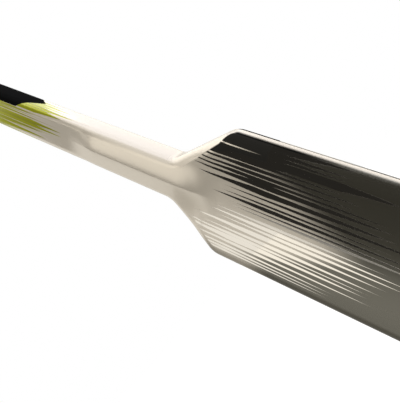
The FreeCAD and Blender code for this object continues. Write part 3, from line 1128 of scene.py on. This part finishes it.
@dataclass(frozen=True)
class RimDarkLines:
    """Rim of the paddle: the front's colour wraps over its front part, and dark lines run along it."""

    last: float = 0.560
    wrap_start: Span = (0.078, 0.081)
    wrap_depth: Span = (0.0008, -0.0026)
    wider: float = 0.0012
    wider_down: Span = (0.10, 0.17)
    line_end: Span = (0.160, 0.115)
    back_line: float = 0.0469
    back_start: Span = (0.084, 0.090)

    def wrap(self, face: Face) -> Signal:
        """Share by which the front's colour wraps over the rim.

        Args:
            face: Place on the lay map.

        Returns:
            1 on the front part of the rim, 0 on the rest of it and on the faces.
        """
        depth = face.across - self.wider * face.down.step(*self.wider_down)
        along = face.down.step(*self.wrap_start) * (face.down < self.last)
        return depth.step(*self.wrap_depth) * (1 - face.broad) * along

    def lines(self, face: Face) -> Signal:
        """Dark lines, where the back rounds into the rim and where the front first wraps over it.

        Args:
            face: Place on the lay map.

        Returns:
            1 on a line, else 0.
        """
        back = (face.across.size() > self.back_line) * face.on(Side.BACK) * face.down.step(*self.back_start)
        front = self.wrap(face) * face.down.step(*self.line_end)
        return back.top(front) * (face.down < self.last)


@dataclass(frozen=True)
class ShaftPanel:
    """Black panel on the shaft's inner rim and over its two roundings, with a pointed lower end."""

    rim: float = 0.02285
    half: float = 0.0128
    tip: float = 0.0915
    tip_around: float = 0.0015
    front_slope: float = 1.65
    back_slope: float = 1.77
    edge: float = 0.0006

    def cover(self, face: Face) -> Signal:
        """Cover of the panel, measured round the section from the middle of the rim.

        Args:
            face: Place on the lay map.

        Returns:
            1 within the half width and above the end, which slants up on both sides of its tip, else 0.
        """
        around = (face.on(Side.FRONT) * (face.across - self.rim) + face.on(Side.INNER) * face.across
                  + face.on(Side.BACK) * (self.rim - face.across) - face.on(Side.OUTER))
        past = around - self.tip_around
        end = self.tip - self.front_slope * past.low(0.0) + self.back_slope * past.top(0.0)
        return ((face.up - end) / self.edge).clamp() * (around.size() < self.half)


@dataclass(frozen=True)
class ShaftStreaks:
    """Lime streaks that close up along the shaft, and black ones that follow farther up."""

    lime_sets: tuple[Strips, ...] = (
        Strips(pitch=0.0036, seed=5.9, begin=0.076, begin_spread=0.016, tip=0.078, tip_spread=0.40,
               fill=1.36, fill_spread=0.25, wander=0.70),
        Strips(pitch=0.0022, seed=17.2, begin=0.076, begin_spread=0.020, tip=0.100, tip_spread=0.30,
               fill=0.62, fill_spread=0.30),
    )
    black_sets: tuple[Strips, ...] = (
        Strips(pitch=0.0046, seed=8.4, begin=0.270, begin_spread=0.060, tip=0.160,
               fill=1.20, fill_spread=0.20),
        Strips(pitch=0.0026, seed=21.6, begin=0.280, begin_spread=0.060, tip=0.200,
               fill=0.95, fill_spread=0.25),
    )
    rim_lead: float = 0.020
    crown_lead: float = 0.012
    crown_fill: float = 1.5
    crown_front: Span = (0.0142, 0.0156)
    crown_rim: Span = (0.003, -0.002)

    @staticmethod
    def joint(bench: Bench, sets: tuple[Strips, ...], face: Face, flow: Flow) -> Signal:
        """Joint cover of several sets of strips up the shaft."""
        return reduce(Signal.top, [strips.mask(bench, face.up, face.lane, flow) for strips in sets])

    def lime(self, bench: Bench, face: Face) -> Signal:
        """Cover of the lime streaks, which lead on the rims and close up over the front inner rounding.

        Args:
            bench: Tree of the material.
            face: Place on the lay map.

        Returns:
            1 on lime, else 0.
        """
        crown = (face.on(Side.FRONT) * face.across.step(*self.crown_front)
                 + face.on(Side.INNER) * face.across.step(*self.crown_rim))
        lead = self.rim_lead * (1 - face.broad) * (1 - crown) + self.crown_lead * crown
        return self.joint(bench, self.lime_sets, face, Flow(lead, extra=self.crown_fill * crown))

    def black(self, bench: Bench, face: Face) -> Signal:
        """Cover of the black streaks."""
        return self.joint(bench, self.black_sets, face, Flow())


@dataclass(frozen=True)
class Lacquer:
    """Satin silver that darkens down the paddle, with mirror strips, and lime and black up the shaft."""

    silver: Colour = (0.76, 0.69, 0.575, 1)
    charcoal: Colour = (0.140, 0.131, 0.101, 1)
    mirror: Colour = (0.80, 0.745, 0.645, 1)
    # Painted shade: dull near-black for the strips' heads and the inner corner.
    painted_dusk: Colour = (0.026, 0.025, 0.022, 1)
    lime: Colour = (0.42, 0.43, 0.012, 1)
    olive: Colour = (0.27, 0.27, 0.030, 1)
    black: Colour = (0.006, 0.006, 0.006, 1)
    cuts: ShoulderCuts = ShoulderCuts()
    strips: MirrorStrips = MirrorStrips()
    fade: CharcoalFade = CharcoalFade()
    rim: RimDarkLines = RimDarkLines()
    panel: ShaftPanel = ShaftPanel()
    streaks: ShaftStreaks = ShaftStreaks()
    satin_roughness: float = 0.25
    charcoal_roughness: float = 0.19
    gloss_roughness: float = 0.04
    black_roughness: float = 0.25
    cloud_roughness: float = 0.04
    shoulder_roughness: float = 0.22
    shoulder_reach: float = 0.003
    shoulder_across: Span = (0.0125, 0.0150)
    shoulder_down: Span = (0.035, 0.045)
    satin_metal: float = 0.44
    charcoal_metal: float = 0.70
    coat: float = 0.5
    coat_off_gloss: float = 0.35
    coat_off_black: float = 0.14
    coat_roughness: float = 0.1
    cloud_scale: float = 14.0
    cloud_detail: float = 3.0
    flake_scale: float = 900.0
    flake_detail: float = 1.0
    thread_scale: float = 900.0
    thread_detail: float = 2.0
    thread_span: Span = (0.40, 0.70)
    flake_relief: float = 0.2
    film_relief: float = 0.1
    relief: float = 0.00002

    def satin(self, bench: Bench, face: Face, dark: Signal) -> Signal:
        """Roughness of the satin ground: it changes with the charcoal, in faint clouds and on the shoulder.

        Args:
            bench: Tree of the material.
            face: Place on the lay map.
            dark: Share of charcoal.

        Returns:
            The roughness.
        """
        cloud = bench.noise(bench.place(), self.cloud_scale, self.cloud_detail)
        ground = self.satin_roughness + (self.charcoal_roughness - self.satin_roughness) * dark
        shoulder = (self.cuts.inner_line(face).ramp(0.0, -self.shoulder_reach)
                    * face.across.step(*self.shoulder_across) * face.down.step(*self.shoulder_down))
        return ground + self.cloud_roughness * (cloud - 0.5) + self.shoulder_roughness * shoulder

    def material(self) -> bpy.types.Material:
        """Builds the lacquer on the lay map.

        Returns:
            The material.
        """
        bench = Bench.material("lacquer")
        face = Face.read(bench)
        gloss = self.strips.cover(bench, face, self.cuts)
        # Painted shade: dull black strip heads and inner corner, in place of the mirror.
        painted_dull = self.strips.painted_dull(face, self.cuts)
        lime = self.streaks.lime(bench, face)
        black = self.streaks.black(bench, face).top(self.panel.cover(face)).top(self.rim.lines(face))
        dark = (self.fade.share(face) * face.broad).top(self.rim.wrap(face))
        thread = bench.line_noise(face.lane, self.thread_scale, self.thread_detail)
        colour = bench.mix(dark, self.silver, self.charcoal)
        colour = bench.mix(gloss, colour, bench.mix(painted_dull, self.mirror, self.painted_dusk))
        colour = bench.mix(lime, colour, bench.mix(thread.step(*self.thread_span), self.lime, self.olive))
        colour = bench.mix(black, colour, self.black)
        metal = self.satin_metal + (self.charcoal_metal - self.satin_metal) * dark
        satin = self.satin(bench, face, dark) * (1 - gloss)
        bare = self.coat_off_gloss * gloss.top(black) + self.coat_off_black * black.top(gloss * painted_dull)
        flake = bench.noise(bench.place(), self.flake_scale, self.flake_detail) * (1 - gloss)
        return bench.finish({
            "Base Color": colour,
            "Metallic": (metal * (1 - gloss) + gloss * (1 - painted_dull)) * (1 - black),
            "Roughness": satin + self.gloss_roughness * gloss + self.black_roughness * black,
            "Specular IOR Level": 0.0,
            "Coat Weight": self.coat - bare,
            "Coat Roughness": self.coat_roughness,
        }, self.flake_relief * flake + self.film_relief * lime.top(black), self.relief)


@dataclass(frozen=True)
class CapPlastic:
    """Moulded black plastic with a fine grain."""

    colour: Colour = (0.030, 0.030, 0.032, 1)
    worn: Colour = (0.060, 0.060, 0.062, 1)
    worn_span: Span = (0.45, 0.75)
    roughness: float = 0.48
    cloud_roughness: float = 0.16
    cloud_scale: float = 60.0
    cloud_detail: float = 3.0
    grain_scale: float = 1400.0
    grain_detail: float = 2.0
    grain: float = 0.00008

    def material(self) -> bpy.types.Material:
        """Builds the plastic, paler where it is worn.

        Returns:
            The material.
        """
        bench = Bench.material("cap_plastic")
        place = bench.place()
        cloud = bench.noise(place, self.cloud_scale, self.cloud_detail)
        return bench.finish({
            "Base Color": bench.mix(cloud.step(*self.worn_span), self.colour, self.worn),
            "Roughness": self.roughness + self.cloud_roughness * (cloud - 0.5),
        }, bench.noise(place, self.grain_scale, self.grain_detail), self.grain)


@dataclass(frozen=True)
class CoreFoam:
    """Pale closed-cell foam."""

    wall: Colour = (0.82, 0.79, 0.70, 1)
    cell: Colour = (0.66, 0.62, 0.52, 1)
    cell_scale: float = 650.0
    cell_span: Span = (0.1, 0.6)
    cell_depth: float = 0.0003
    roughness: float = 0.86

    def material(self) -> bpy.types.Material:
        """Builds the foam from small round cells.

        Returns:
            The material.
        """
        bench = Bench.material("core_foam")
        inputs = {"Vector": bench.place(), "Scale": self.cell_scale}
        cells = bench.value("ShaderNodeTexVoronoi", None, inputs)
        return bench.finish({
            "Base Color": bench.mix(cells.step(*self.cell_span), self.cell, self.wall),
            "Roughness": self.roughness,
        }, cells, self.cell_depth)


@dataclass(frozen=True)
class BareCarbon:
    """Bare cured carbon laminate in a twill."""

    thread: Colour = (0.045, 0.045, 0.048, 1)
    shade: Colour = (0.018, 0.018, 0.020, 1)
    tow: float = 0.002
    tows: int = 4
    tow_depth: float = 0.00006
    roughness: float = 0.34
    over_roughness: float = 0.12

    def material(self) -> bpy.types.Material:
        """Builds the twill: over two and under two tows, stepping one tow from row to row.

        Returns:
            The material.
        """
        bench = Bench.material("bare_carbon")
        x, y, z = bench.parts("ShaderNodeSeparateXYZ", bench.place())
        row = ((z + y) / self.tow).floor()
        weave = ((x + y) / self.tow + row) / self.tows
        over = (weave - weave.floor()) > 0.5
        return bench.finish({
            "Base Color": bench.mix(over, self.shade, self.thread),
            "Roughness": self.roughness + self.over_roughness * over,
        }, over, self.tow_depth)


@dataclass
class Cores:
    """Pieces inside the skin, and the butt cap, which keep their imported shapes."""

    foam: tuple[str, ...] = (
        "paddle_core_inner", "paddle_core_outer", "heel_block", "blade_core_upper", "blade_core_lower",
    )
    carbon: tuple[str, ...] = ("neck_tenon", "paddle_spar", "blade_rib")
    cap: tuple[str, ...] = ("butt_cap",)

    def dress(self, nodes: dict[str, bpy.types.Object]) -> None:
        """Gives each node its finish.

        Args:
            nodes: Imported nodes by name.
        """
        finishes = ((self.foam, CoreFoam()), (self.carbon, BareCarbon()), (self.cap, CapPlastic()))
        for names, finish in finishes:
            material = finish.material()
            for name in names:
                dress(nodes[name], material)
                LOG.info("%s: %s", name, material.name)


@dataclass(frozen=True)
class Screen:
    """Dark screen or bright card, part of a cylinder round the stick's axis, that only reflections see.

    Angles are in degrees, 0 straight in front and 90 on the blade's side, and heights run up the shaft.
    """

    name: str
    angles: Span
    heights: Span
    shade: float = 0.022
    bottom_shade: float | None = None
    tint: Tint = WARM
    soft_low: float = 0.0
    soft_high: float = 0.0
    radius: float = 0.600
    steps: int = 48

    @property
    def sweep(self) -> np.ndarray:
        """Even angles from edge to edge."""
        return np.linspace(*self.angles, self.steps + 1)

    def points(self, lean: Lean) -> np.ndarray:
        """Points of the screen: radius at even angles, at its bottom and its top.

        Args:
            lean: Frame of the stick.

        Returns:
            Array of two rows by angles by three, in the world.
        """
        angle = np.radians(self.sweep)
        across = np.broadcast_to(self.radius * np.sin(angle), (2, len(angle)))
        along = np.array(self.heights)[:, None] * np.ones_like(angle)
        plan = across[..., None] * lean.across + along[..., None] * lean.along
        depth = np.broadcast_to(-self.radius * np.cos(angle), (2, len(angle)))
        return np.stack([plan[..., 0], depth, plan[..., 1]], axis=-1)

    def shades(self) -> np.ndarray:
        """Colour at each of those points: the shade in its tint, from white over the soft angle at an edge.

        Returns:
            Array of points by three.
        """
        low, high = self.angles
        cover = np.ones(self.steps + 1)
        if self.soft_low:
            cover *= smooth(low, low + self.soft_low, self.sweep)
        if self.soft_high:
            cover *= smooth(high, high - self.soft_high, self.sweep)
        bottom = self.shade if self.bottom_shade is None else self.bottom_shade
        tint = np.array(self.tint)
        return np.concatenate([1 + cover[:, None] * (shade * tint - 1) for shade in (bottom, self.shade)])


@dataclass(frozen=True)
class Lid:
    """Flat bright card square to the stick's axis, above the butt, that only reflections see."""

    name: str
    along: float
    across: Span
    depth: Span
    shade: float
    tint: Tint

    def points(self, lean: Lean) -> np.ndarray:
        """Corners of the card in the world, two rows by two by three."""
        return np.array([[lean.world(across, depth, self.along) for across in self.across]
                         for depth in self.depth])

    def shades(self) -> np.ndarray:
        """Colour at each of those corners."""
        return np.tile(self.shade * np.array(self.tint), (4, 1))


@dataclass(frozen=True)
class Lamp:
    """Soft rectangular lamp, placed in the frame of the stick and aimed at a place on it."""

    name: str
    place: Triple
    target: Triple
    size: Span
    power: float
    colour: Tint = (0.93, 0.93, 1.0)


@dataclass
class Studio:
    """Stage: floor, world, lamps, screens and cards that the lacquer reflects, and the camera."""

    lean: Lean = Lean()
    floor_height: float = -0.6097
    floor_half: float = 4.0
    floor_colour: Colour = (0.80, 0.80, 0.79, 1)
    floor_glow: float = 0.62
    world_colour: Colour = (1.0, 0.98, 0.95, 1)
    world_light: float = 0.66
    lamps: tuple[Lamp, ...] = (
        Lamp("back_lamp", place=(0.36, 0.65, 0.20), target=(0.02, 0.0, 0.20), size=(1.5, 0.45), power=2.3),
        Lamp("crest_lamp", place=(0.70, 0.02, 0.30), target=(0.0, 0.0, 0.10), size=(1.2, 0.40), power=1.1),
    )
    screens: tuple[Screen | Lid, ...] = (
        Screen("paddle_screen", (-37.1, 0.0), (-0.85, 0.150), soft_low=2.4),
        Screen("crown_screen", (0.0, 150.0), (-0.85, 0.130)),
        Screen("foot_screen", (-115.0, -44.0), (-0.85, 0.120), 0.40, soft_high=7.0),
        Screen("side_screen", (-115.0, -43.0), (0.120, 0.270), 0.35, soft_high=8.0),
        Screen("neck_screen", (-37.1, -20.0), (0.150, 0.260), soft_low=2.4),
        Screen("shaft_screen", (-42.0, -20.0), (0.260, 0.95)),
        Screen("start_card", (-22.5, -15.0), (0.685, 0.755), 1.3, radius=0.59),
        Screen("butt_screen", (-20.0, -5.0), (0.630, 0.95)),
        Screen("brow_screen", (-5.0, 48.0), (0.630, 0.95), soft_high=6.0),
        Screen("dip_screen", (1.0, 44.0), (0.465, 0.630), bottom_shade=1.2, soft_high=6.0),
        Screen("facet_card", (-17.0, 22.0), (0.155, 0.465), 1.52),
        Screen("facet_top_card", (-20.0, 1.0), (0.465, 0.630), 1.65),
        Screen("crest_card", (68.0, 150.0), (0.155, 0.655), 1.9, tint=COOL),
        Screen("neck_card", (48.0, 150.0), (0.780, 0.95), 2.4, tint=COOL),
        Lid("shoulder_card", along=1.3, across=(-0.6, 0.9), depth=(-0.60, 1.0), shade=2.4, tint=MILD),
    )
    hidden_from: tuple[str, ...] = ("camera", "diffuse", "transmission", "volume_scatter", "shadow")
    camera_place: Triple = (0.2035, -0.1928, -0.0825)
    camera_forward: Triple = (-0.6904, 0.7175, 0.0924)
    camera_up: Triple = (0.5423, 0.4288, 0.7225)
    lens: float = 36.0
    sensor: float = 36.0
    nearest: float = 0.01

    def build(self) -> None:
        """Sets up everything round the object."""
        bpy.context.scene.view_settings.view_transform = "Standard"
        self.add_world()
        self.add_floor()
        self.add_screens()
        for lamp in self.lamps:
            self.add_lamp(lamp)
        self.add_camera()

    @staticmethod
    def seen(bench: Bench) -> Signal:
        """Tells the rays that see the stage from those that only bring its light.

        Args:
            bench: Tree of a material or of the world.

        Returns:
            1 for camera, glossy and transmission rays, else 0.
        """
        rays = bench.node("ShaderNodeLightPath")
        camera, glossy, through = (Signal(bench, rays.outputs[f"Is {kind} Ray"])
                                   for kind in ("Camera", "Glossy", "Transmission"))
        return camera.top(glossy).top(through)

    def add_world(self) -> None:
        """White where it is seen, and a plain soft light elsewhere."""
        world = bpy.data.worlds.new("white_room")
        world.cycles.sampling_method = "NONE"
        bpy.context.scene.world = world
        bench = Bench(world)
        light = bench.node("ShaderNodeBackground", None, {0: self.world_colour, 1: self.world_light})
        white = bench.node("ShaderNodeBackground", None, {0: WHITE, 1: 1.0})
        choice = {0: self.seen(bench), 1: light.outputs[0], 2: white.outputs[0]}
        both = bench.node("ShaderNodeMixShader", None, choice)
        bench.node("ShaderNodeOutputWorld", None, {0: both.outputs[0]})

    def add_card(self, name: str, points: np.ndarray) -> bpy.types.Object:
        """Stage card through two rows of points.

        Args:
            name: Name of the card.
            points: Array of two rows by points by three.

        Returns:
            The card, linked to the scene.
        """
        count = points.shape[1]
        first = np.arange(count - 1)
        faces = np.stack([first, first + 1, first + count + 1, first + count], axis=-1)
        mesh = bpy.data.meshes.new(name)
        mesh.from_pydata(points.reshape(-1, 3).tolist(), [], faces.tolist())
        card = bpy.data.objects.new(name, mesh)
        bpy.context.scene.collection.objects.link(card)
        card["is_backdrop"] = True
        return card

    def add_floor(self) -> None:
        """Pale floor under the sole that keeps the shadow of the stick."""
        half, height = self.floor_half, self.floor_height
        rows = [[(x, y, height) for x in (-half, half)] for y in (-half, half)]
        floor = self.add_card("floor", np.array(rows))
        bench = Bench.material("floor_white")
        matt = bench.node("ShaderNodeBsdfDiffuse", None, {"Color": self.floor_colour})
        glow = bench.node("ShaderNodeEmission", None, {"Color": WHITE, "Strength": self.floor_glow})
        lit = bench.node("ShaderNodeAddShader", None, {0: matt.outputs[0], 1: glow.outputs[0]})
        choice = {0: self.seen(bench), 1: matt.outputs[0], 2: lit.outputs[0]}
        both = bench.node("ShaderNodeMixShader", None, choice)
        bench.node("ShaderNodeOutputMaterial", None, {0: both.outputs[0]})
        dress(floor, bench.owner)

    def add_screens(self) -> None:
        """Screens and cards, each with its own colours at its points."""
        bench = Bench.material("screen_shade")
        shade = bench.value("ShaderNodeAttribute", {"attribute_name": SHADE_MAP}, None, "Color")
        glow = bench.node("ShaderNodeEmission", None, {"Color": shade, "Strength": 1.0})
        bench.node("ShaderNodeOutputMaterial", None, {0: glow.outputs[0]})
        for screen in self.screens:
            card = self.add_card(screen.name, screen.points(self.lean))
            shades = screen.shades()
            colours = np.concatenate([shades, np.ones((len(shades), 1))], axis=1)
            tone = card.data.attributes.new(SHADE_MAP, "FLOAT_COLOR", "POINT")
            tone.data.foreach_set("color", colours.astype(np.float32).ravel())
            dress(card, bench.owner)
            for ray in self.hidden_from:
                setattr(card, f"visible_{ray}", False)

    def add_lamp(self, lamp: Lamp) -> None:
        """Adds a lamp, its long side along the stick, that the camera itself doesn't see.

        Args:
            lamp: The lamp.
        """
        data = bpy.data.lights.new(lamp.name, "AREA")
        data.shape = "RECTANGLE"
        data.size, data.size_y = lamp.size
        data.energy = lamp.power
        data.color = lamp.colour
        item = bpy.data.objects.new(lamp.name, data)
        item.location = self.lean.world(*lamp.place)
        aim = self.lean.world(*lamp.target) - item.location
        along = Vector((self.lean.along[0], 0, self.lean.along[1]))
        back = -aim.normalized()
        wide = (along - along.dot(back) * back).normalized()
        item.rotation_euler = Matrix((wide, back.cross(wide), back)).transposed().to_euler()
        item.visible_camera = False
        bpy.context.scene.collection.objects.link(item)

    def add_camera(self) -> None:
        """Camera at the photograph's viewpoint, with its roll."""
        data = bpy.data.cameras.new("camera")
        data.sensor_fit = "HORIZONTAL"
        data.sensor_width = self.sensor
        data.lens = self.lens
        data.clip_start = self.nearest
        camera = bpy.data.objects.new("camera", data)
        forward = Vector(self.camera_forward).normalized()
        right = forward.cross(Vector(self.camera_up)).normalized()
        turn = Matrix((right, right.cross(forward), -forward)).transposed()
        camera.matrix_world = Matrix.Translation(self.camera_place) @ turn.to_4x4()
        bpy.context.scene.collection.objects.link(camera)
        bpy.context.scene.camera = camera


def corners() -> list[list[float]]:
    """Lowest and highest corner of what is shown, as plain lists."""
    return [list(corner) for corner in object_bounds()]


def main() -> None:
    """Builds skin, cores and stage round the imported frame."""
    logging.basicConfig(level=logging.INFO, format="%(name)s %(message)s")
    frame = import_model()
    skin = LaminateSkin().build()
    lacquer = Lacquer().material()
    for piece in skin.values():
        dress(piece, lacquer)
    Cores().dress(frame["nodes"])
    Studio().build()


if __name__ == "__main__":
    main()
